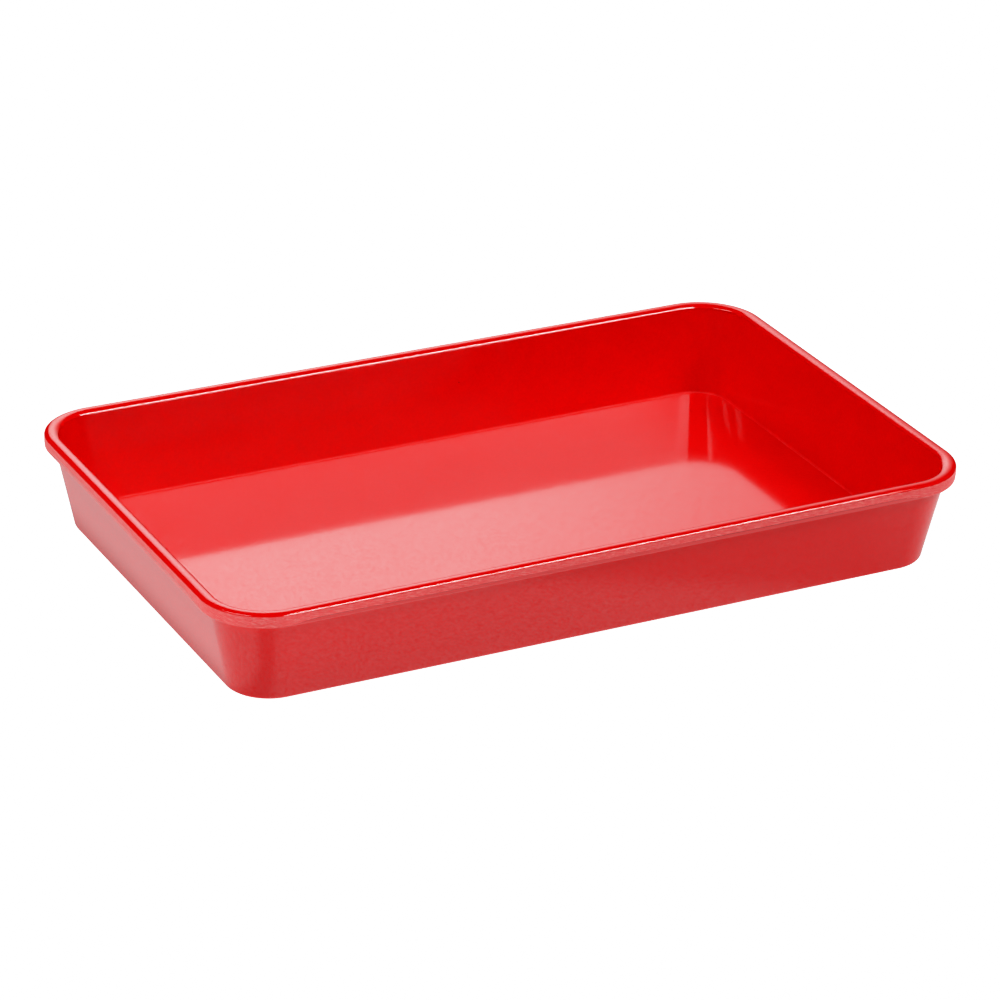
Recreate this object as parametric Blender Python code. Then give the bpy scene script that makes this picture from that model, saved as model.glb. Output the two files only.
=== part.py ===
"""Developing tray for photographic prints.

One compression-moulded rectangular tray: drafted walls of even thickness, a
flat base to stand on, a flat inner floor, and an overhanging rim.  The rim's
top is a low crown, its inner edge is rounded, and its outer edge is trimmed
to a flat vertical band.  The underside of the rim is a narrow ledge.

Origin at the centre of the face it stands on, X along the length, Z up.
"""
import math

import bmesh
import bpy

MM = 0.001

# Overall size, over the trimmed edge of the rim
LENGTH = 300.0 * MM
WIDTH = 188.4 * MM
HEIGHT = 38.1 * MM
RIM_CORNER_RADIUS = 24.3 * MM

# Rim: crowned top, trimmed outer band, rounded inner edge, flat underside
BAND_BOTTOM = 32.8 * MM          # height of the rim's underside
CROWN_RADIUS = 4.3 * MM          # cross-section radius of the crowned top
CROWN_PEAK = 2.4 * MM            # from the band in to the highest line
CROWN_INNER_TILT = 32.0          # degrees, where the tighter inner edge takes over
INNER_EDGE_RADIUS = 1.5 * MM
BAND_TOP_ROUND = 0.25 * MM
BAND_BOTTOM_ROUND = 0.30 * MM
LEDGE_WIDTH = 3.7 * MM           # how far the rim stands out from the wall
LEDGE_FILLET = 0.8 * MM

# Walls: outside face, from the ledge down to the base
BASE_INSET_ENDS = 10.05 * MM     # the short end walls, at the base
BASE_INSET_SIDES = 9.2 * MM      # the long side walls, at the base
BASE_CORNER_RADIUS = 16.5 * MM
BASE_FILLET = 2.0 * MM

# Inside
WALL_THICKNESS = 2.4 * MM        # measured level
FLOOR_THICKNESS = 3.2 * MM
FLOOR_FILLET = 1.1 * MM

CORNER_SEGMENTS = 14

# How far each wall leans out for each metre of height
WALL_RUN = BAND_BOTTOM - BASE_FILLET
LEAN_ENDS = (BASE_INSET_ENDS - LEDGE_WIDTH) / WALL_RUN
LEAN_SIDES = (BASE_INSET_SIDES - LEDGE_WIDTH) / WALL_RUN
LEAN = 0.5 * (LEAN_ENDS + LEAN_SIDES)
DRAFT = math.atan(LEAN)
LEAN_CORNER = (RIM_CORNER_RADIUS - LEDGE_WIDTH - BASE_CORNER_RADIUS) / WALL_RUN


def outer_wall(z):
    """Insets of the outside wall face at the ends and sides, and its corner radius."""
    down = BAND_BOTTOM - z
    return (LEDGE_WIDTH + LEAN_ENDS * down,
            LEDGE_WIDTH + LEAN_SIDES * down,
            RIM_CORNER_RADIUS - LEDGE_WIDTH - LEAN_CORNER * down)


def inner_wall(z):
    """The inside wall face is the outside one moved in by the wall thickness."""
    ends, sides, radius = outer_wall(z)
    return (ends + WALL_THICKNESS, sides + WALL_THICKNESS, radius - WALL_THICKNESS)


def level(inset, z):
    """A station of the rim, where all four sides have the same inset."""
    return (inset, inset, RIM_CORNER_RADIUS - inset, z)


def stations():
    """The cross-section, from the standing face up the outside, over the rim
    and down the inside to the floor: (end inset, side inset, corner radius, z)."""
    out = []

    # rounded bottom edge, tangent to the standing face and to the wall
    z_tangent = BASE_FILLET * (1.0 - math.sin(DRAFT))
    ends, sides, radius = outer_wall(z_tangent)
    for i in range(5):
        a = math.radians(-90.0) + (math.radians(90.0) - DRAFT) * i / 4
        step = BASE_FILLET * (math.cos(DRAFT) - math.cos(a))
        out.append((ends + step, sides + step, radius - step,
                    BASE_FILLET * (1.0 + math.sin(a))))

    # hollow fillet from the wall out to the underside of the rim
    for i in range(4):
        a = DRAFT + (math.radians(90.0) - DRAFT) * i / 3
        z = BAND_BOTTOM - LEDGE_FILLET * (1.0 - math.sin(a))
        ends, sides, radius = outer_wall(BAND_BOTTOM - LEDGE_FILLET * (1.0 - math.sin(DRAFT)))
        step = LEDGE_FILLET * (math.cos(DRAFT) - math.cos(a))
        out.append((ends - step, sides - step, radius + step, z))

    # underside, lower corner of the band, and the band itself
    for i in range(3):
        a = math.radians(90.0 * i / 2)
        out.append(level(BAND_BOTTOM_ROUND * (1.0 - math.sin(a)),
                         BAND_BOTTOM + BAND_BOTTOM_ROUND * (1.0 - math.cos(a))))
    outer_tilt = math.asin(CROWN_PEAK / CROWN_RADIUS)
    edge_z = HEIGHT - CROWN_RADIUS * (1.0 - math.cos(outer_tilt))
    out.append(level(0.0, edge_z - BAND_TOP_ROUND))

    # crowned top, outside to inside
    start = outer_tilt - BAND_TOP_ROUND / CROWN_RADIUS
    end = -math.radians(CROWN_INNER_TILT)
    for i in range(9):
        a = start + (end - start) * i / 8
        out.append(level(CROWN_PEAK - CROWN_RADIUS * math.sin(a),
                         HEIGHT - CROWN_RADIUS * (1.0 - math.cos(a))))

    # rounded inner edge, tangent to the crown and to the inside wall
    tilt = math.radians(CROWN_INNER_TILT)
    inset0 = CROWN_PEAK + (CROWN_RADIUS - INNER_EDGE_RADIUS) * math.sin(tilt)
    z0 = HEIGHT - CROWN_RADIUS + (CROWN_RADIUS - INNER_EDGE_RADIUS) * math.cos(tilt)
    last = math.radians(90.0) - DRAFT
    for i in range(1, 5):
        a = tilt + (last - tilt) * i / 4
        inset = inset0 + INNER_EDGE_RADIUS * math.sin(a)
        z = z0 + INNER_EDGE_RADIUS * math.cos(a)
        if i < 4:
            out.append(level(inset, z))
        else:
            out.append(inner_wall(z) + (z,))

    # inside wall, and the hollow fillet down to the floor
    z_tangent = FLOOR_THICKNESS + FLOOR_FILLET * (1.0 - math.sin(DRAFT))
    ends, sides, radius = inner_wall(z_tangent)
    for i in range(5):
        a = DRAFT + (math.radians(90.0) - DRAFT) * i / 4
        step = FLOOR_FILLET * (math.cos(DRAFT) - math.cos(a))
        out.append((ends + step, sides + step, radius - step,
                    FLOOR_THICKNESS + FLOOR_FILLET * (1.0 - math.sin(a))))
    return out


def rounded_rectangle(end_inset, side_inset, radius, z):
    """Points of one level loop, anticlockwise seen from above."""
    half_x = LENGTH / 2 - end_inset - radius
    half_y = WIDTH / 2 - side_inset - radius
    points = []
    for corner, (sx, sy) in enumerate(((1, -1), (1, 1), (-1, 1), (-1, -1))):
        for i in range(CORNER_SEGMENTS + 1):
            a = math.radians(-90.0 + 90.0 * corner + 90.0 * i / CORNER_SEGMENTS)
            points.append((sx * half_x + radius * math.cos(a),
                           sy * half_y + radius * math.sin(a), z))
    return points


def build_tray():
    loops = [rounded_rectangle(*s) for s in stations()]
    bm = bmesh.new()
    verts = [bm.verts.new(p) for p in loops[0]]
    bm.faces.new(list(reversed(verts)))          # standing face, looking down

    for points in loops[1:]:
        edges = [bm.edges.get((verts[i], verts[(i + 1) % len(verts)]))
                 for i in range(len(verts))]
        grown = bmesh.ops.extrude_edge_only(bm, edges=edges)
        new = {v for v in grown["geom"] if isinstance(v, bmesh.types.BMVert)}
        ring = []
        for v, point in zip(verts, points):
            partner = next(e.other_vert(v) for e in v.link_edges
                           if e.other_vert(v) in new)
            partner.co = point
            ring.append(partner)
        verts = ring

    bm.faces.new(verts)                          # inner floor, looking up
    bmesh.ops.recalc_face_normals(bm, faces=bm.faces)

    mesh = bpy.data.meshes.new("tray")
    bm.to_mesh(mesh)
    bm.free()
    tray = bpy.data.objects.new("tray", mesh)
    bpy.context.scene.collection.objects.link(tray)
    mesh.shade_smooth()
    mesh.set_sharp_from_angle(angle=math.radians(35.0))
    return tray


def glossy_red():
    material = bpy.data.materials.new("gloss_red_melamine")
    material.use_nodes = True
    shader = material.node_tree.nodes["Principled BSDF"]
    shader.inputs["Base Color"].default_value = (0.72, 0.004, 0.004, 1.0)
    shader.inputs["Roughness"].default_value = 0.12
    shader.inputs["Metallic"].default_value = 0.0
    return material


def main():
    for obj in list(bpy.data.objects):
        bpy.data.objects.remove(obj, do_unlink=True)
    tray = build_tray()
    tray.data.materials.append(glossy_red())


main()
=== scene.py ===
import math

import bpy
import numpy as np
from mathutils import Matrix, Vector, noise


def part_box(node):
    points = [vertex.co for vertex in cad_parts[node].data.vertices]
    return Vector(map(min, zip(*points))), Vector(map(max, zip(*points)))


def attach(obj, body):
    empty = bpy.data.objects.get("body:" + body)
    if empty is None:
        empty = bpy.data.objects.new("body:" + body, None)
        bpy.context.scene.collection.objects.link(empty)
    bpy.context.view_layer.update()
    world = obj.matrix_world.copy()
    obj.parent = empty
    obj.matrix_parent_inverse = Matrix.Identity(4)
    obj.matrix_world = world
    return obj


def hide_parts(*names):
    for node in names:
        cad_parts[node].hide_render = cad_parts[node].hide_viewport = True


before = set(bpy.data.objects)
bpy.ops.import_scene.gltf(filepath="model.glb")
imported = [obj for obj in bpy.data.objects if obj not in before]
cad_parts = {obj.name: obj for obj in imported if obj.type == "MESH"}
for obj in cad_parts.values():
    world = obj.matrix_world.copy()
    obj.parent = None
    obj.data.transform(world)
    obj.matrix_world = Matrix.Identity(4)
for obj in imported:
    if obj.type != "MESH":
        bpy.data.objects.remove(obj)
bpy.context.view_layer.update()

# ---------------------------------------------------------------- dimensions
# Millimetres here, metres once the mesh is made.
LOW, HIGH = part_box("tray")
LENGTH = (HIGH[0] - LOW[0]) * 1000.0
WIDTH = (HIGH[1] - LOW[1]) * 1000.0
HEIGHT = (HIGH[2] - LOW[2]) * 1000.0

RIM_CORNER_RADIUS = 24.3
BAND_BOTTOM = 32.8
CROWN_RADIUS = 4.3
CROWN_PEAK = 2.4
CROWN_INNER_TILT = math.radians(36.0)
INNER_EDGE_RADIUS = 1.1
OUTER_EDGE_RADIUS = 0.8
BAND_BOTTOM_ROUND = 0.45
STRIP_INSET = 0.09            # the moulded strip lies this far behind the trimmed face
STEP_LOW, STEP_HIGH = 34.36, 34.56
TRIM_TOP = 37.30              # the trimming stops about here
LEDGE_WIDTH = 3.7
LEDGE_FILLET = 0.8
BASE_INSET_ENDS = 10.05
BASE_INSET_SIDES = 9.2
BASE_CORNER_RADIUS = 16.5
BASE_FILLET = 2.0
WALL_THICKNESS = 2.4
FLOOR_THICKNESS = 3.2
FLOOR_FILLET = 0.8

WALL_RUN = BAND_BOTTOM - BASE_FILLET
LEAN_ENDS = (BASE_INSET_ENDS - LEDGE_WIDTH) / WALL_RUN
LEAN_SIDES = (BASE_INSET_SIDES - LEDGE_WIDTH) / WALL_RUN
DRAFT = math.atan(0.5 * (LEAN_ENDS + LEAN_SIDES))
LEAN_CORNER = (RIM_CORNER_RADIUS - LEDGE_WIDTH - BASE_CORNER_RADIUS) / WALL_RUN

NX, NY, NC = 66, 42, 32       # segments along a long side, a short side and a corner


def outer_wall(z):
    down = BAND_BOTTOM - z
    return (LEDGE_WIDTH + LEAN_ENDS * down, LEDGE_WIDTH + LEAN_SIDES * down,
            RIM_CORNER_RADIUS - LEDGE_WIDTH - LEAN_CORNER * down)


def inner_wall(z):
    ends, sides, radius = outer_wall(z)
    return ends + WALL_THICKNESS, sides + WALL_THICKNESS, radius - WALL_THICKNESS


def level(inset, z):
    return inset, inset, RIM_CORNER_RADIUS - inset, z


def profile():
    """(end inset, side inset, corner radius, z) from the standing face up the
    outside, over the rim and down to the inner floor."""
    out = []
    # standing face to outer wall
    z_t = BASE_FILLET * (1.0 - math.sin(DRAFT))
    ends, sides, radius = outer_wall(z_t)
    for i in range(11):
        a = -math.pi / 2 + (math.pi / 2 - DRAFT) * i / 10
        step = BASE_FILLET * (math.cos(DRAFT) - math.cos(a))
        out.append((ends + step, sides + step, radius - step,
                    BASE_FILLET * (1.0 + math.sin(a))))
    # outer wall
    z_a, z_b = z_t, BAND_BOTTOM - LEDGE_FILLET * (1.0 - math.sin(DRAFT))
    for t in (0.03, 0.09, 0.18, 0.28, 0.39, 0.5, 0.61, 0.72, 0.82, 0.91, 0.97):
        z = z_a + (z_b - z_a) * t
        out.append(outer_wall(z) + (z,))
    # hollow fillet under the rim
    ends, sides, radius = outer_wall(z_b)
    for i in range(7):
        a = DRAFT + (math.pi / 2 - DRAFT) * i / 6
        step = LEDGE_FILLET * (math.cos(DRAFT) - math.cos(a))
        out.append((ends - step, sides - step, radius + step,
                    BAND_BOTTOM - LEDGE_FILLET * (1.0 - math.sin(a))))
    # underside of the rim
    inner = out[-1][0]
    edge = STRIP_INSET + 0.05 + BAND_BOTTOM_ROUND
    for t in (0.08, 0.5, 0.92):
        out.append(level(inner + (edge - inner) * t, BAND_BOTTOM))
    # rounded lower edge of the band
    for i in range(7):
        a = math.pi / 2 * i / 6
        out.append(level(edge - BAND_BOTTOM_ROUND * math.sin(a),
                         BAND_BOTTOM + BAND_BOTTOM_ROUND * (1.0 - math.cos(a))))
    # moulded strip, the small step, the trimmed face
    z0 = BAND_BOTTOM + BAND_BOTTOM_ROUND
    for t in (0.1, 0.5, 0.9):
        out.append(level(STRIP_INSET + 0.05 * (1.0 - t), z0 + (STEP_LOW - z0) * t))
    out.append(level(STRIP_INSET, STEP_LOW))
    out.append(level(0.0, STEP_HIGH))
    r = OUTER_EDGE_RADIUS
    dz = math.sqrt((CROWN_RADIUS - r) ** 2 - (CROWN_PEAK - r) ** 2)
    z_c = HEIGHT - CROWN_RADIUS + dz
    for t in (0.06, 0.3, 0.6, 0.94):
        out.append(level(0.0, STEP_HIGH + (z_c - STEP_HIGH) * t))
    # rounded outer edge, up to the crown
    tilt_o = math.asin((CROWN_PEAK - r) / (CROWN_RADIUS - r))
    for i in range(9):
        a = math.pi / 2 + (tilt_o - math.pi / 2) * i / 8
        out.append(level(r - r * math.sin(a), z_c + r * math.cos(a)))
    # crowned top
    for i in range(1, 17):
        a = tilt_o + (-CROWN_INNER_TILT - tilt_o) * i / 16
        out.append(level(CROWN_PEAK - CROWN_RADIUS * math.sin(a),
                         HEIGHT - CROWN_RADIUS * (1.0 - math.cos(a))))
    # rounded inner edge
    inset0 = CROWN_PEAK + (CROWN_RADIUS - INNER_EDGE_RADIUS) * math.sin(CROWN_INNER_TILT)
    z0 = HEIGHT - CROWN_RADIUS + (CROWN_RADIUS - INNER_EDGE_RADIUS) * math.cos(CROWN_INNER_TILT)
    last = math.pi / 2 - DRAFT
    for i in range(1, 9):
        a = CROWN_INNER_TILT + (last - CROWN_INNER_TILT) * i / 8
        inset, z = inset0 + INNER_EDGE_RADIUS * math.sin(a), z0 + INNER_EDGE_RADIUS * math.cos(a)
        out.append(level(inset, z) if i < 8 else inner_wall(z) + (z,))
    # inner wall
    z_a = out[-1][3]
    z_b = FLOOR_THICKNESS + FLOOR_FILLET * (1.0 - math.sin(DRAFT))
    for t in (0.03, 0.09, 0.18, 0.28, 0.39, 0.5, 0.61, 0.72, 0.82, 0.91, 0.97):
        z = z_a + (z_b - z_a) * t
        out.append(inner_wall(z) + (z,))
    # hollow fillet to the floor
    ends, sides, radius = inner_wall(z_b)
    for i in range(9):
        a = DRAFT + (math.pi / 2 - DRAFT) * i / 8
        step = FLOOR_FILLET * (math.cos(DRAFT) - math.cos(a))
        out.append((ends + step, sides + step, radius - step,
                    FLOOR_THICKNESS + FLOOR_FILLET * (1.0 - math.sin(a))))
    return out


def loop(end_inset, side_inset, radius, z):
    """One level loop, anticlockwise from above, starting at the middle of the back side."""
    half_x = LENGTH / 2 - end_inset
    half_y = WIDTH / 2 - side_inset
    sx, sy = half_x - radius, half_y - radius
    pts = []
    corners = ((1, -1, -90.0), (1, 1, 0.0), (-1, 1, 90.0), (-1, -1, 180.0))
    for k, (cx, cy, a0) in enumerate(corners):
        for i in range(NC):
            a = math.radians(a0 + 90.0 * i / NC)
            pts.append((cx * sx + radius * math.cos(a), cy * sy + radius * math.sin(a), z))
        a = math.radians(a0 + 90.0)
        start = (cx * sx + radius * math.cos(a), cy * sy + radius * math.sin(a))
        nx, ny, _ = corners[(k + 1) % 4]
        end = (nx * sx + radius * math.cos(a), ny * sy + radius * math.sin(a))
        n = NY if k % 2 == 0 else NX
        for i in range(n):
            t = i / n
            pts.append((start[0] + (end[0] - start[0]) * t, start[1] + (end[1] - start[1]) * t, z))
    # k=1 is the back side: its middle comes first
    first = NC + NY + NC + NX // 2
    return pts[first:] + pts[:first]


def rectangle(half_x, half_y, z):
    """The square-cornered loop inside a level face, with the same number of points."""
    mx, my = NX + NC, NY + NC
    xs = np.linspace(-1.0, 1.0, mx + 1) * half_x
    ys = np.linspace(-1.0, 1.0, my + 1) * half_y
    pts = []
    pts += [(xs[-1], ys[i], z) for i in range(my)]                 # right side, going up
    pts += [(xs[mx - i], ys[-1], z) for i in range(mx)]            # back, going left
    pts += [(xs[0], ys[my - i], z) for i in range(my)]             # left, going down
    pts += [(xs[i], ys[0], z) for i in range(mx)]                  # front, going right
    first = my + mx // 2
    return pts[first:] + pts[:first], xs, ys


def smooth(t):
    t = min(max(t, 0.0), 1.0)
    return t * t * (3.0 - 2.0 * t)


def build():
    rows = profile()
    rings = [loop(*row) for row in rows]
    n = len(rings[0])

    # column positions along the rim, and row positions along the cross-section
    rim = np.array(loop(0.0, 0.0, RIM_CORNER_RADIUS, 0.0))
    seg = np.linalg.norm(np.roll(rim, -1, axis=0) - rim, axis=1)
    u = np.concatenate([[0.0], np.cumsum(seg)])
    cross = np.array([(row[0], row[3]) for row in rows])
    v = np.concatenate([[0.0], np.cumsum(np.linalg.norm(np.diff(cross, axis=0), axis=1))])

    verts, uvs, faces, face_uv = [], [], [], []
    for ring in rings:
        verts.extend(ring)

    def quads(a, b, va, vb):
        """Faces between ring number a and ring number b, counted in vertices."""
        for i in range(n):
            j = (i + 1) % n
            faces.append((a + i, a + j, b + j, b + i))
            face_uv.append(((u[i], va), (u[i + 1], va), (u[i + 1], vb), (u[i], vb)))

    for k in range(len(rings) - 1):
        quads(k * n, (k + 1) * n, v[k], v[k + 1])

    def fill(ring_start, ring, z, v_edge, up):
        """Fills a level face: loops that turn square, then a grid."""
        ring = np.array(ring)
        hx, hy = abs(ring[:, 0]).max(), abs(ring[:, 1]).max()
        inset = 26.0
        square, xs, ys = rectangle(hx - inset, hy - inset, z)
        square = np.array(square)
        # the square loop's points are spaced to match by length, so the rings blend evenly
        previous, v_prev = ring_start, v_edge
        steps = (0.012, 0.05, 0.12, 0.22, 0.34, 0.47, 0.6, 0.73, 0.87)
        for t in steps:
            start = len(verts)
            pts = ring + (square - ring) * t
            verts.extend([tuple(p) for p in pts])
            v_now = v_edge + inset * t
            if up:
                quads(previous, start, v_prev, v_now)
            else:
                quads(start, previous, v_now, v_prev)
            previous, v_prev = start, v_now
        start = len(verts)
        grid = {}
        for j, y in enumerate(ys):
            for i, x in enumerate(xs):
                grid[i, j] = len(verts)
                verts.append((x, y, z))
        mx, my = len(xs) - 1, len(ys) - 1
        order = ([(mx, j) for j in range(my)] + [(mx - i, my) for i in range(mx)]
                 + [(0, my - j) for j in range(my)] + [(i, 0) for i in range(mx)])
        first = my + mx // 2
        order = order[first:] + order[:first]
        v_now = v_edge + inset
        for i in range(n):
            j = (i + 1) % n
            a, b = grid[order[i]], grid[order[j]]
            if up:
                faces.append((previous + i, previous + j, b, a))
                face_uv.append(((u[i], v_prev), (u[i + 1], v_prev), (u[i + 1], v_now), (u[i], v_now)))
            else:
                faces.append((a, b, previous + j, previous + i))
                face_uv.append(((u[i], v_now), (u[i + 1], v_now), (u[i + 1], v_prev), (u[i], v_prev)))
        for j in range(my):
            for i in range(mx):
                q = (grid[i, j], grid[i + 1, j], grid[i + 1, j + 1], grid[i, j + 1])
                c = [(verts[p][0] + 400.0, v_now + 30.0) for p in q]
                if up:
                    faces.append(q)
                    face_uv.append(tuple(c))
                else:
                    faces.append(q[::-1])
                    face_uv.append(tuple(c[::-1]))

    fill((len(rings) - 1) * n, rings[-1], rows[-1][3], v[-1], True)
    fill(0, rings[0], 0.0, -100.0, False)

    co = np.array(verts)
    x, y, z = co[:, 0].copy(), co[:, 1].copy(), co[:, 2].copy()
    up = z / HEIGHT

    # moulding shrinkage: the ends stand very slightly higher than the middle
    bow = (x / (LENGTH / 2)) ** 2
    dz = (1.0 - up) * 0.20 * bow - up * 0.04 * (1.0 - bow)
    # long shallow waves, a few hundredths of a millimetre, that unsettle the reflections
    wave = np.array([noise.noise(Vector((a * 0.016 + 3.1, b * 0.021 - 1.7, c * 0.02 + 0.4)))
                     for a, b, c in co])
    ripple = np.array([noise.noise(Vector((a * 0.06 - 7.0, b * 0.06 + 2.0, c * 0.05)))
                       for a, b, c in co])
    inside = np.array([1.0 if c > 0.01 else 0.0 for c in z])
    dz = dz + inside * (0.030 * wave + 0.006 * ripple)
    lean = np.array([noise.noise(Vector((a * 0.013 + 11.0, b * 0.016 + 5.0, c * 0.012)))
                     for a, b, c in co])
    # walls bulge inwards only, so that the box is kept
    pull = (0.10 * (lean * 0.5 + 0.5)) * np.sin(np.pi * np.clip(up / 0.86, 0, 1))
    co[:, 0] = x * (1.0 - pull / (LENGTH / 2) * np.abs(x) / (LENGTH / 2))
    co[:, 1] = y * (1.0 - pull / (WIDTH / 2) * np.abs(y) / (WIDTH / 2))
    co[:, 2] = np.clip(z + dz, 0.0, HEIGHT)

    # the trimmed face is cut by hand: its depth wanders by a few hundredths
    names = {}
    for k, row in enumerate(rows):
        if STEP_HIGH - 1e-6 <= row[3] <= TRIM_TOP and row[0] < 1e-6:
            names[k] = row[3]
    for k in names:
        for i in range(n):
            p = k * n + i
            a, b = co[p, 0], co[p, 1]
            d = 0.035 * (noise.noise(Vector((a * 0.11, b * 0.11, 1.3 + 0.3 * names[k]))) * 0.5 + 0.5)
            # towards the middle, along the outward direction of the rim
            cx = math.copysign(max(abs(a) - (LENGTH / 2 - RIM_CORNER_RADIUS), 0.0), a)
            cy = math.copysign(max(abs(b) - (WIDTH / 2 - RIM_CORNER_RADIUS), 0.0), b)
            m = math.hypot(cx, cy) or 1.0
            co[p, 0] -= d * cx / m
            co[p, 1] -= d * cy / m

    mesh = bpy.data.meshes.new("tray_shell")
    mesh.from_pydata([tuple(p * 0.001) for p in co], [], faces)
    layer = mesh.uv_layers.new(name="sweep")
    flat = [c for f in face_uv for q in f for c in q]
    layer.data.foreach_set("uv", flat)
    mesh.polygons.foreach_set("use_smooth", [True] * len(faces))
    mesh.update()

    # vertex normals weighted by area, so that broad faces stay true beside small roundings
    quad = np.array(faces)
    p = co[quad]
    nrm = np.cross(p[:, 2] - p[:, 0], p[:, 3] - p[:, 1])
    acc = np.zeros_like(co)
    for c in range(4):
        np.add.at(acc, quad[:, c], nrm)
    acc /= np.linalg.norm(acc, axis=1)[:, None]
    mesh.normals_split_custom_set_from_vertices([tuple(a) for a in acc])

    obj = bpy.data.objects.new("tray_shell", mesh)
    bpy.context.scene.collection.objects.link(obj)

    marks = {
        "band_low": v[[k for k, r in enumerate(rows) if abs(r[3] - BAND_BOTTOM) < 1e-6][-1]],
        "step": v[[k for k, r in enumerate(rows) if abs(r[3] - STEP_HIGH) < 1e-6][0]],
    }
    marks["trim_top"] = marks["step"] + (TRIM_TOP - STEP_HIGH)
    marks["foot"] = v[len(rows) - 9], v[len(rows) - 1]
    marks["crown"] = v[[k for k, r in enumerate(rows) if abs(r[3] - HEIGHT) < 1e-2][0]]
    return obj, marks


# ------------------------------------------------------------------ material
class Nodes:
    def __init__(self, tree):
        self.tree = tree

    def add(self, kind, **values):
        node = self.tree.nodes.new(kind)
        for key, value in values.items():
            setattr(node, key, value)
        return node

    def link(self, a, b):
        self.tree.links.new(a, b)

    def put(self, socket, value):
        if isinstance(value, bpy.types.NodeSocket):
            self.link(value, socket)
        else:
            socket.default_value = value

    def math(self, op, a, b=0.0, c=None, clamp=False):
        node = self.add("ShaderNodeMath", operation=op, use_clamp=clamp)
        self.put(node.inputs[0], a)
        self.put(node.inputs[1], b)
        if c is not None:
            self.put(node.inputs[2], c)
        return node.outputs[0]

    def ramp(self, value, a, b, to_a=0.0, to_b=1.0, kind="SMOOTHSTEP"):
        node = self.add("ShaderNodeMapRange", interpolation_type=kind)
        self.put(node.inputs["Value"], value)
        for key, val in (("From Min", a), ("From Max", b), ("To Min", to_a), ("To Max", to_b)):
            self.put(node.inputs[key], val)
        return node.outputs["Result"]

    def noise(self, vector, scale, detail=2.0, rough=0.5, distortion=0.0):
        node = self.add("ShaderNodeTexNoise")
        self.put(node.inputs["Vector"], vector)
        self.put(node.inputs["Scale"], scale)
        self.put(node.inputs["Detail"], detail)
        self.put(node.inputs["Roughness"], rough)
        self.put(node.inputs["Distortion"], distortion)
        return node.outputs["Fac"]

    def place(self, vector, scale=(1, 1, 1), turn=0.0, move=(0, 0, 0)):
        first = self.add("ShaderNodeMapping")
        self.put(first.inputs["Vector"], vector)
        first.inputs["Rotation"].default_value = (0, 0, turn)
        second = self.add("ShaderNodeMapping")
        self.put(second.inputs["Vector"], first.outputs[0])
        second.inputs["Scale"].default_value = scale
        second.inputs["Location"].default_value = move
        return second.outputs[0]

    def mix(self, factor, a, b):
        node = self.add("ShaderNodeMix", data_type="RGBA")
        self.put(node.inputs[0], factor)
        self.put(node.inputs[6], a)
        self.put(node.inputs[7], b)
        return node.outputs[2]

    def blend(self, factor, a, b):
        node = self.add("ShaderNodeMix", data_type="FLOAT")
        self.put(node.inputs[0], factor)
        self.put(node.inputs[2], a)
        self.put(node.inputs[3], b)
        return node.outputs[0]


RED = (0.80, 0.0004, 0.0004, 1.0)


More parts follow.
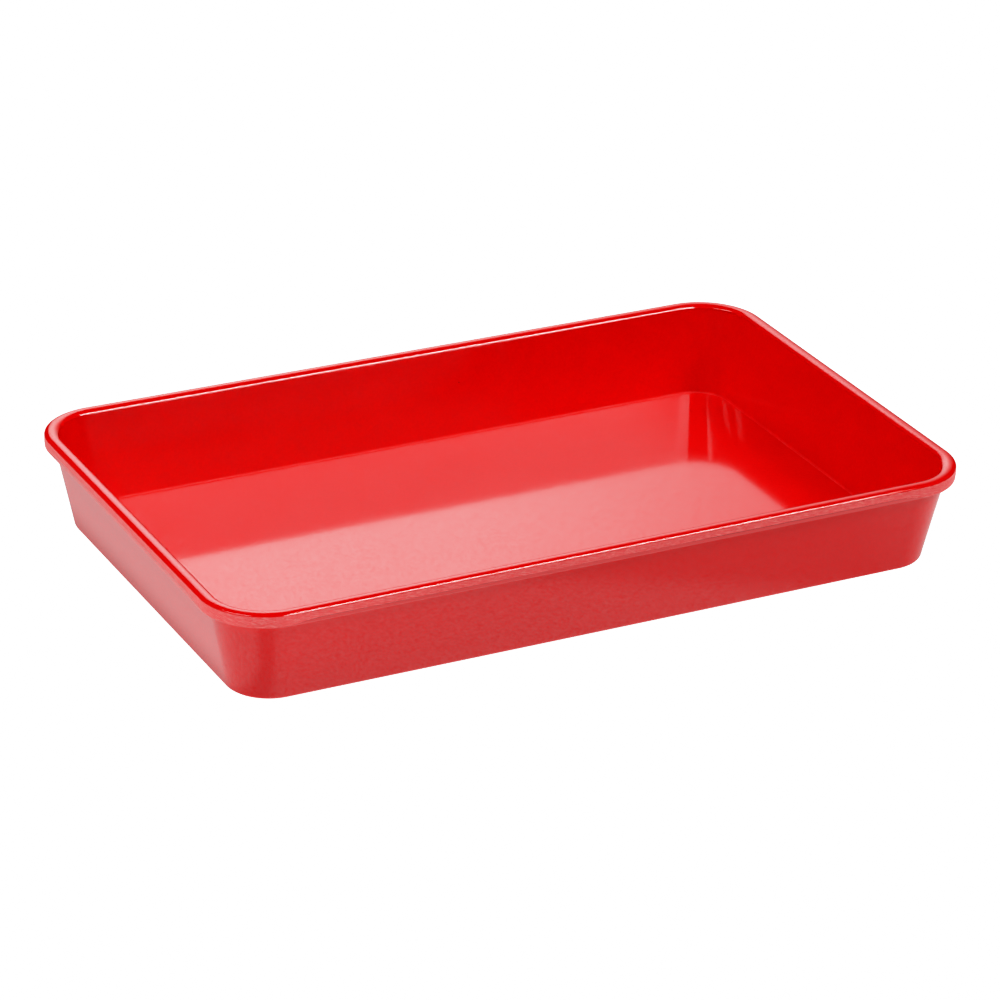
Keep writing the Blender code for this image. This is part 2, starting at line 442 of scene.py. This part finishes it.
def red_melamine(marks):
    material = bpy.data.materials.new("red_melamine")
    material.use_nodes = True
    n = Nodes(material.node_tree)
    shader = material.node_tree.nodes["Principled BSDF"]
    shader.inputs["Metallic"].default_value = 0.0
    shader.inputs["IOR"].default_value = 1.5

    where = n.add("ShaderNodeTexCoord")
    solid = where.outputs["Object"]
    uv = n.add("ShaderNodeUVMap", uv_map="sweep").outputs[0]
    split = n.add("ShaderNodeSeparateXYZ")
    n.link(uv, split.inputs[0])
    along, across = split.outputs[0], split.outputs[1]

    # where the trimming passed: between two ragged lines round the rim's outer band,
    # and over the whole band at the corners, where the wheel turns
    place = n.add("ShaderNodeSeparateXYZ")
    n.link(solid, place.inputs[0])
    out_x = n.math("SUBTRACT", n.math("ABSOLUTE", place.outputs[0]), (LENGTH / 2 - RIM_CORNER_RADIUS) * 0.001)
    out_y = n.math("SUBTRACT", n.math("ABSOLUTE", place.outputs[1]), (WIDTH / 2 - RIM_CORNER_RADIUS) * 0.001)
    corner = n.ramp(n.math("MINIMUM", out_x, out_y), -0.012, 0.004)
    rag_low = n.noise(n.place(uv, (0.35, 0.12, 1.0)), 1.0, 3.0, 0.65)
    rag_top = n.noise(n.place(uv, (0.22, 0.12, 1.0), move=(37.0, 0, 0)), 1.0, 4.0, 0.7)
    low_edge = n.math("ADD", n.math("SUBTRACT", marks["step"] - 0.28, n.math("MULTIPLY", corner, 1.35)),
                      n.math("MULTIPLY", rag_low, 0.5))
    top_edge = n.math("ADD", n.math("ADD", marks["trim_top"] - 0.55, n.math("MULTIPLY", corner, 0.15)),
                      n.math("MULTIPLY", rag_top, 0.6))
    trimmed = n.math("MULTIPLY",
                     n.ramp(n.math("SUBTRACT", across, low_edge), -0.05, 0.05),
                     n.ramp(n.math("SUBTRACT", across, top_edge), -0.10, 0.14, 1.0, 0.0))
    # painted shade: the line where the trimming stopped short is darkened a little, on and off along the rim
    patchy = n.ramp(n.noise(n.place(uv, (0.012, 0.0, 1.0), move=(5.0, 0, 0)), 1.0, 1.0), 0.42, 0.58)
    gap = n.math("SUBTRACT", across, n.math("SUBTRACT", low_edge, 0.12))
    step_painted_shade = n.math("MULTIPLY", n.ramp(n.math("ABSOLUTE", gap), 0.05, 0.16, 1.0, 0.0),
                    n.math("MULTIPLY", patchy, n.math("SUBTRACT", 1.0, corner)))

    # scratches: two families of short stretched strokes
    fine = n.noise(n.place(uv, (0.26, 3.4, 1.0), turn=math.radians(11.0)), 1.0, 3.0, 0.6)
    cross = n.noise(n.place(uv, (0.40, 2.6, 1.0), turn=math.radians(-24.0), move=(11, 5, 0)), 1.0, 2.0, 0.6)
    strokes = n.math("MAXIMUM", n.ramp(fine, 0.46, 0.68), n.math("MULTIPLY", n.ramp(cross, 0.56, 0.70), 0.8))

    # outside is a little less polished than the inside and the crown
    outside = n.ramp(across, marks["step"] - 1.0, marks["step"] + 2.5, 1.0, 0.0)

    cloud = n.noise(n.place(solid, (1, 1, 1)), 55.0, 3.0, 0.6)
    grain = n.noise(n.place(solid, (1, 1, 1)), 900.0, 2.0, 0.6)
    peel = n.noise(n.place(solid, (1, 1, 1)), 320.0, 2.0, 0.5)

    # sparse dark specks in the moulding powder
    dots = n.add("ShaderNodeTexVoronoi", feature="F1", distance="EUCLIDEAN")
    n.put(dots.inputs["Vector"], solid)
    dots.inputs["Scale"].default_value = 150.0
    pick = n.add("ShaderNodeSeparateColor")
    n.link(dots.outputs["Color"], pick.inputs[0])
    speck = n.math("MULTIPLY",
                   n.ramp(dots.outputs["Distance"], 0.03, 0.06, 1.0, 0.0),
                   n.ramp(pick.outputs[0], 0.90, 0.91, 0.0, 1.0))

    base = n.mix(n.ramp(cloud, 0.35, 0.65), (0.785, 0.0004, 0.0004, 1.0), (0.803, 0.0005, 0.0005, 1.0))
    base = n.mix(n.ramp(grain, 0.30, 0.70, 0.18, 0.0), base, (0.60, 0.0003, 0.0003, 1.0))
    base = n.mix(n.math("MULTIPLY", speck, 0.55), base, (0.25, 0.0, 0.0, 1.0))
    dull = n.mix(strokes, (0.90, 0.040, 0.040, 1.0), (0.95, 0.17, 0.165, 1.0))
    # painted reflection: the moulded strip below it gets a paler pink base colour, standing in for the table it
    # reflects
    strip_painted_reflection = n.math("MULTIPLY", n.ramp(across, marks["band_low"] + 0.25, marks["band_low"] + 0.45),
                   n.ramp(across, marks["step"] - 0.05, marks["step"] + 0.05, 1.0, 0.0))
    # painted reflection of the table on the moulded strip
    base = n.mix(strip_painted_reflection, base, (0.78, 0.050, 0.050, 1.0))
    base = n.mix(trimmed, base, dull)
    # painted shade along the step line, darkening the base colour
    base = n.mix(n.math("MULTIPLY", step_painted_shade, 0.75), base, (0.20, 0.0, 0.0, 1.0))
    n.link(base, shader.inputs["Base Color"])

    crown = n.math("MULTIPLY", n.ramp(across, marks["trim_top"] - 0.3, marks["trim_top"] + 0.2),
                   n.ramp(across, marks["crown"] + 6.0, marks["crown"] + 12.0, 1.0, 0.0))
    polish = n.blend(crown, n.blend(outside, 0.085, 0.16), 0.035)
    rough = n.math("ADD", polish, n.math("MULTIPLY", n.math("SUBTRACT", cloud, 0.5), 0.02))
    # the narrow hollow at the foot of the walls never sees the polishing wheel
    foot = n.math("MULTIPLY", n.ramp(across, marks["foot"][0] - 0.25, marks["foot"][0] + 0.05),
                  n.ramp(across, marks["foot"][1] - 0.15, marks["foot"][1] + 0.25, 1.0, 0.0))
    rough = n.blend(foot, rough, 0.30)
    rough = n.blend(trimmed, rough, n.math("ADD", 0.40, n.math("MULTIPLY", strokes, 0.15)))
    n.link(rough, shader.inputs["Roughness"])

    # the gloss itself is faintly mottled, at the size of the powder
    mottle = n.noise(n.place(solid, (1, 1, 1), move=(0.3, 0.1, 0.2)), 1050.0, 2.0, 0.6)
    gloss = n.math("ADD", 0.5, n.math("MULTIPLY", n.math("SUBTRACT", mottle, 0.5), 1.1))
    gloss = n.math("SUBTRACT", gloss, n.math("MULTIPLY", speck, 0.25))
    gloss = n.math("MULTIPLY", gloss, n.math("SUBTRACT", 1.0, n.math("MULTIPLY", foot, 0.85)))
    n.link(gloss, shader.inputs["Specular IOR Level"])

    height = n.math("ADD", n.math("MULTIPLY", peel, 0.0000018), n.math("MULTIPLY", grain, 0.0000005))
    height = n.math("ADD", height, n.math("MULTIPLY", n.math("MULTIPLY", trimmed, strokes), 0.00003))
    bump = n.add("ShaderNodeBump")
    bump.inputs["Strength"].default_value = 1.0
    bump.inputs["Distance"].default_value = 1.0
    n.link(height, bump.inputs["Height"])
    n.link(bump.outputs[0], shader.inputs["Normal"])
    return material


# --------------------------------------------------------------------- stage
# radiance of each source, with white paper in the picture as 1
KEY, KEY_WIDE, FILL, FILL_WIDE, SWEEP, AIR = 10.2, 9.1, 8.6, 2.3, 3.0, 0.006
KEY_CORE, TOP_WIDE = 3.0, 1.5
TABLE_FRONT, TABLE_SIDE, TABLE_BACK, TABLE_FILL = 1.1, 0.9, 0.35, 1.02


def emitter(name, strength=1.0):
    material = bpy.data.materials.new(name)
    material.use_nodes = True
    tree = material.node_tree
    tree.nodes.remove(tree.nodes["Principled BSDF"])
    glow = tree.nodes.new("ShaderNodeEmission")
    glow.inputs["Strength"].default_value = strength
    tree.links.new(glow.outputs[0], tree.nodes["Material Output"].inputs["Surface"])
    return material, glow


def sheet_object(name, corners, material):
    mesh = bpy.data.meshes.new(name)
    mesh.from_pydata([tuple(c) for c in corners], [], [(0, 1, 2, 3)])
    layer = mesh.uv_layers.new(name="UVMap")
    layer.data.foreach_set("uv", [0.0, 0.0, 1.0, 0.0, 1.0, 1.0, 0.0, 1.0])
    mesh.materials.append(material)
    obj = bpy.data.objects.new(name, mesh)
    bpy.context.scene.collection.objects.link(obj)
    return obj


def lamp(name, centre, size, radiance, aim=None, turn=0.0):
    """A soft box that reads as one even rectangle of the given radiance."""
    data = bpy.data.lights.new(name, "AREA")
    data.shape = "RECTANGLE"
    data.size, data.size_y = size
    data.energy = radiance * math.pi * size[0] * size[1]
    obj = bpy.data.objects.new(name, data)
    bpy.context.scene.collection.objects.link(obj)
    obj.location = centre
    if aim is None:
        obj.rotation_euler = (0.0, 0.0, turn)
    else:
        direction = Vector(aim) - Vector(centre)
        obj.rotation_euler = direction.to_track_quat("-Z", "Y").to_euler()
    obj.visible_camera = False
    return obj


def stage():
    scene = bpy.context.scene
    scene.view_settings.view_transform = "Standard"
    # a gentle shoulder, as a camera has: paper stays white, strong reds keep their detail
    scene.view_settings.use_curve_mapping = True
    curves = scene.view_settings.curve_mapping
    curves.white_level = (4.0, 4.0, 4.0)
    shoulder = curves.curves[3]
    for x, y in ((0.8 / 4, 0.80), (0.9 / 4, 0.858), (1.0 / 4, 0.890), (1.2 / 4, 0.925),
                 (1.36 / 4, 0.965), (1.5 / 4, 1.0)):
        shoulder.points.new(x, y)
    for point in shoulder.points:
        point.handle_type = "VECTOR"
    curves.update()

    # what the camera sees of the floor: plain white paper, too bright to hold a shadow
    floor_look = bpy.data.materials.new("paper_floor")
    floor_look.use_nodes = True
    tree = floor_look.node_tree
    shader = tree.nodes["Principled BSDF"]
    shader.inputs["Base Color"].default_value = (0.25, 0.25, 0.25, 1.0)
    shader.inputs["Roughness"].default_value = 0.9
    shader.inputs["Specular IOR Level"].default_value = 0.1
    shader.inputs["Emission Color"].default_value = (1.0, 1.0, 1.0, 1.0)
    shader.inputs["Emission Strength"].default_value = 1.52
    half = 40.0
    corners = [(-half, -half, -0.0002), (half, -half, -0.0002), (half, half, -0.0002), (-half, half, -0.0002)]
    floor = sheet_object("floor", corners, floor_look)
    floor.visible_glossy = False
    floor.visible_diffuse = False
    floor.visible_shadow = False

    # what the tray sees of it: a glowing sheet with painted light and painted shadow in patches, as a table
    # under several lamps is lit
    table_look, glow = emitter("paper_bounce")
    n = Nodes(table_look.node_tree)
    place = n.add("ShaderNodeTexCoord")
    split = n.add("ShaderNodeSeparateXYZ")
    n.link(place.outputs["Object"], split.inputs[0])
    px, py = split.outputs[0], split.outputs[1]
    # painted shadow near the tray at 0.40, painted light patches up to about 0.83
    slant = n.math("SUBTRACT", px, n.math("MULTIPLY", n.math("ADD", py, 0.09), 3.3))
    front = n.math("MULTIPLY", n.ramp(px, -0.135, -0.126), n.ramp(slant, 0.045, 0.100, 1.0, 0.0))
    right = n.ramp(px, 0.105, 0.175)
    left = n.math("MULTIPLY", n.ramp(n.math("ADD", px, n.math("MULTIPLY", py, -0.9)), -0.068, -0.048, 1.0, 0.0),
                  n.ramp(px, -0.146, -0.138, 1.0, 0.0))
    bright = n.math("MAXIMUM", front, n.math("MAXIMUM", right, left))
    near = n.math("ADD", 0.40, n.math("ADD", n.math("MULTIPLY", bright, 0.43), n.math("MULTIPLY", left, 0.15)))
    ahead_mask = n.ramp(py, -0.30, -0.16, 1.0, 0.0)
    behind_mask = n.ramp(py, 0.12, 0.30)
    side_mask = n.ramp(n.math("ABSOLUTE", px), 0.22, 0.34)
    value = n.blend(side_mask, near, TABLE_SIDE)
    value = n.blend(ahead_mask, value, TABLE_FRONT)
    value = n.blend(behind_mask, value, TABLE_BACK)
    n.link(value, glow.inputs["Strength"])
    half = 2.2
    corners = [(-half, -half, -0.0006), (half, -half, -0.0006), (half, half, -0.0006), (-half, half, -0.0006)]
    table = sheet_object("floor_bounce", corners, table_look)
    table.visible_camera = False
    table.visible_diffuse = False

    # the even part of the same bounce, which only fills the shade of the outer walls:
    # a little stronger towards the front left
    soft_look, glow = emitter("paper_fill")
    n = Nodes(soft_look.node_tree)
    place = n.add("ShaderNodeTexCoord")
    split = n.add("ShaderNodeSeparateXYZ")
    n.link(place.outputs["Object"], split.inputs[0])
    reach = n.math("SUBTRACT", n.math("MULTIPLY", split.outputs[1], -0.6), split.outputs[0])
    n.link(n.ramp(reach, 0.12, 0.42, TABLE_FILL, TABLE_FILL + 0.85), glow.inputs["Strength"])
    corners = [(x, y, -0.0008) for x, y, _ in corners]
    table = sheet_object("floor_fill", corners, soft_look)
    table.visible_camera = False
    table.visible_glossy = False

    # back-right: a lit paper sweep, brightest high on its left and fading down and to the right
    heading = math.radians(27.5)
    ahead = Vector((math.sin(heading), math.cos(heading), 0.0))
    side = Vector((math.cos(heading), -math.sin(heading), 0.0))
    s0, s1, top, distance = -0.56, 0.64, 1.30, 1.35
    sweep_look, glow = emitter("sweep_glow")
    tree = sweep_look.node_tree
    coord = tree.nodes.new("ShaderNodeUVMap")
    split = tree.nodes.new("ShaderNodeSeparateXYZ")
    tree.links.new(coord.outputs[0], split.inputs[0])
    product = tree.nodes.new("ShaderNodeMath")
    product.operation = "MULTIPLY"
    for k, stops in enumerate((
            [(-0.56, 0.0), (-0.50, 0.62), (-0.36, 0.86), (-0.18, 1.0), (-0.02, 0.92), (0.06, 0.76),
             (0.16, 0.52), (0.26, 0.33), (0.36, 0.20), (0.46, 0.10), (0.64, 0.0)],
            [(0.0, 0.12), (0.10, 0.30), (0.20, 0.46), (0.30, 0.60), (0.45, 0.80), (0.62, 0.96),
             (0.80, 1.0), (1.10, 1.0), (1.22, 0.7), (1.30, 0.0)])):
        low, high = (s0, s1) if k == 0 else (0.0, top)
        ramp = tree.nodes.new("ShaderNodeValToRGB")
        tree.links.new(split.outputs[k], ramp.inputs[0])
        band = ramp.color_ramp
        band.elements[0].position, band.elements[1].position = 0.0, 1.0
        for j, (place, value) in enumerate(stops):
            at = (place - low) / (high - low)
            if j == 0:
                stop = band.elements[0]
            elif j == len(stops) - 1:
                stop = band.elements[-1]
            else:
                stop = band.elements.new(at)
            stop.color = (value, value, value, 1.0)
        tree.links.new(ramp.outputs[0], product.inputs[k])
    peak = tree.nodes.new("ShaderNodeMath")
    peak.operation = "MULTIPLY"
    peak.inputs[1].default_value = SWEEP
    tree.links.new(product.outputs[0], peak.inputs[0])
    tree.links.new(peak.outputs[0], glow.inputs["Strength"])
    centre = ahead * distance
    corners = [centre + side * s0, centre + side * s1,
               centre + side * s1 + Vector((0, 0, top)), centre + side * s0 + Vector((0, 0, top))]
    card = sheet_object("card_back", corners, sweep_look)
    card.visible_camera = False

    # front-right soft box, laid level as a trapezoid, so that its near edge reads wider
    look, glow = emitter("softbox_glow", KEY)
    # the cloth is brightest at the near end, over the lamp
    n = Nodes(look.node_tree)
    split = n.add("ShaderNodeSeparateXYZ")
    n.link(n.add("ShaderNodeUVMap", uv_map="UVMap").outputs[0], split.inputs[0])
    n.link(n.ramp(split.outputs[1], 0.63, 0.79, KEY, KEY * KEY_CORE), glow.inputs["Strength"])
    z = 1.2
    corners = [(0.02, -1.75, z), (1.12, -1.75, z), (0.74, -0.14, z), (0.31, -0.14, z)]
    box = sheet_object("softbox_right", corners, look)
    box.visible_camera = False
    box.visible_diffuse = False
    # its light on matt surfaces, from its whole front
    wide = lamp("softbox_right_wide", (0.74, -0.72, 1.23), (0.9, 0.9), KEY_WIDE, aim=(0.0, 0.0, 0.02))
    wide.visible_glossy = False

    # left soft box
    lamp("softbox_left", (-0.70, 0.03, 1.27), (0.90, 0.32), FILL, aim=(0.0, 0.0, 0.02))
    wide = lamp("softbox_left_wide", (-0.74, 0.03, 1.22), (0.9, 0.9), FILL_WIDE, aim=(0.0, 0.0, 0.02))
    wide.visible_glossy = False

    # what the ceiling sends straight down, on matt surfaces
    wide = lamp("ceiling_wide", (0.0, 0.0, 1.30), (0.6, 0.6), TOP_WIDE)
    wide.visible_glossy = False

    world = bpy.data.worlds.new("studio")
    scene.world = world
    world.use_nodes = True
    tree = world.node_tree
    back = tree.nodes["Background"]
    path = tree.nodes.new("ShaderNodeLightPath")
    rng = tree.nodes.new("ShaderNodeMapRange")
    rng.inputs["To Min"].default_value = AIR
    rng.inputs["To Max"].default_value = 1.6
    tree.links.new(path.outputs["Is Camera Ray"], rng.inputs["Value"])
    tree.links.new(rng.outputs[0], back.inputs["Strength"])
    back.inputs["Color"].default_value = (1.0, 1.0, 1.0, 1.0)


def camera():
    data = bpy.data.cameras.new("camera")
    data.sensor_fit = "HORIZONTAL"
    data.sensor_width = 36.0
    data.lens = 155.61
    data.clip_start, data.clip_end = 0.05, 200.0
    obj = bpy.data.objects.new("camera", data)
    bpy.context.scene.collection.objects.link(obj)
    right = (0.89207507, -0.45125241, 0.02394454)
    up = (0.17272845, 0.38947009, 0.9046977)
    back = (-0.4175727, -0.80292236, 0.42538069)
    place = (-0.66794, -1.286006, 0.696840)
    obj.matrix_world = Matrix([(right[i], up[i], back[i], place[i]) for i in range(3)] + [(0, 0, 0, 1)])
    bpy.context.scene.camera = obj


camera()
tray, marks = build()
tray.data.materials.append(red_melamine(marks))
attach(tray, "root")
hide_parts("tray")
stage()

bpy.context.view_layer.update()
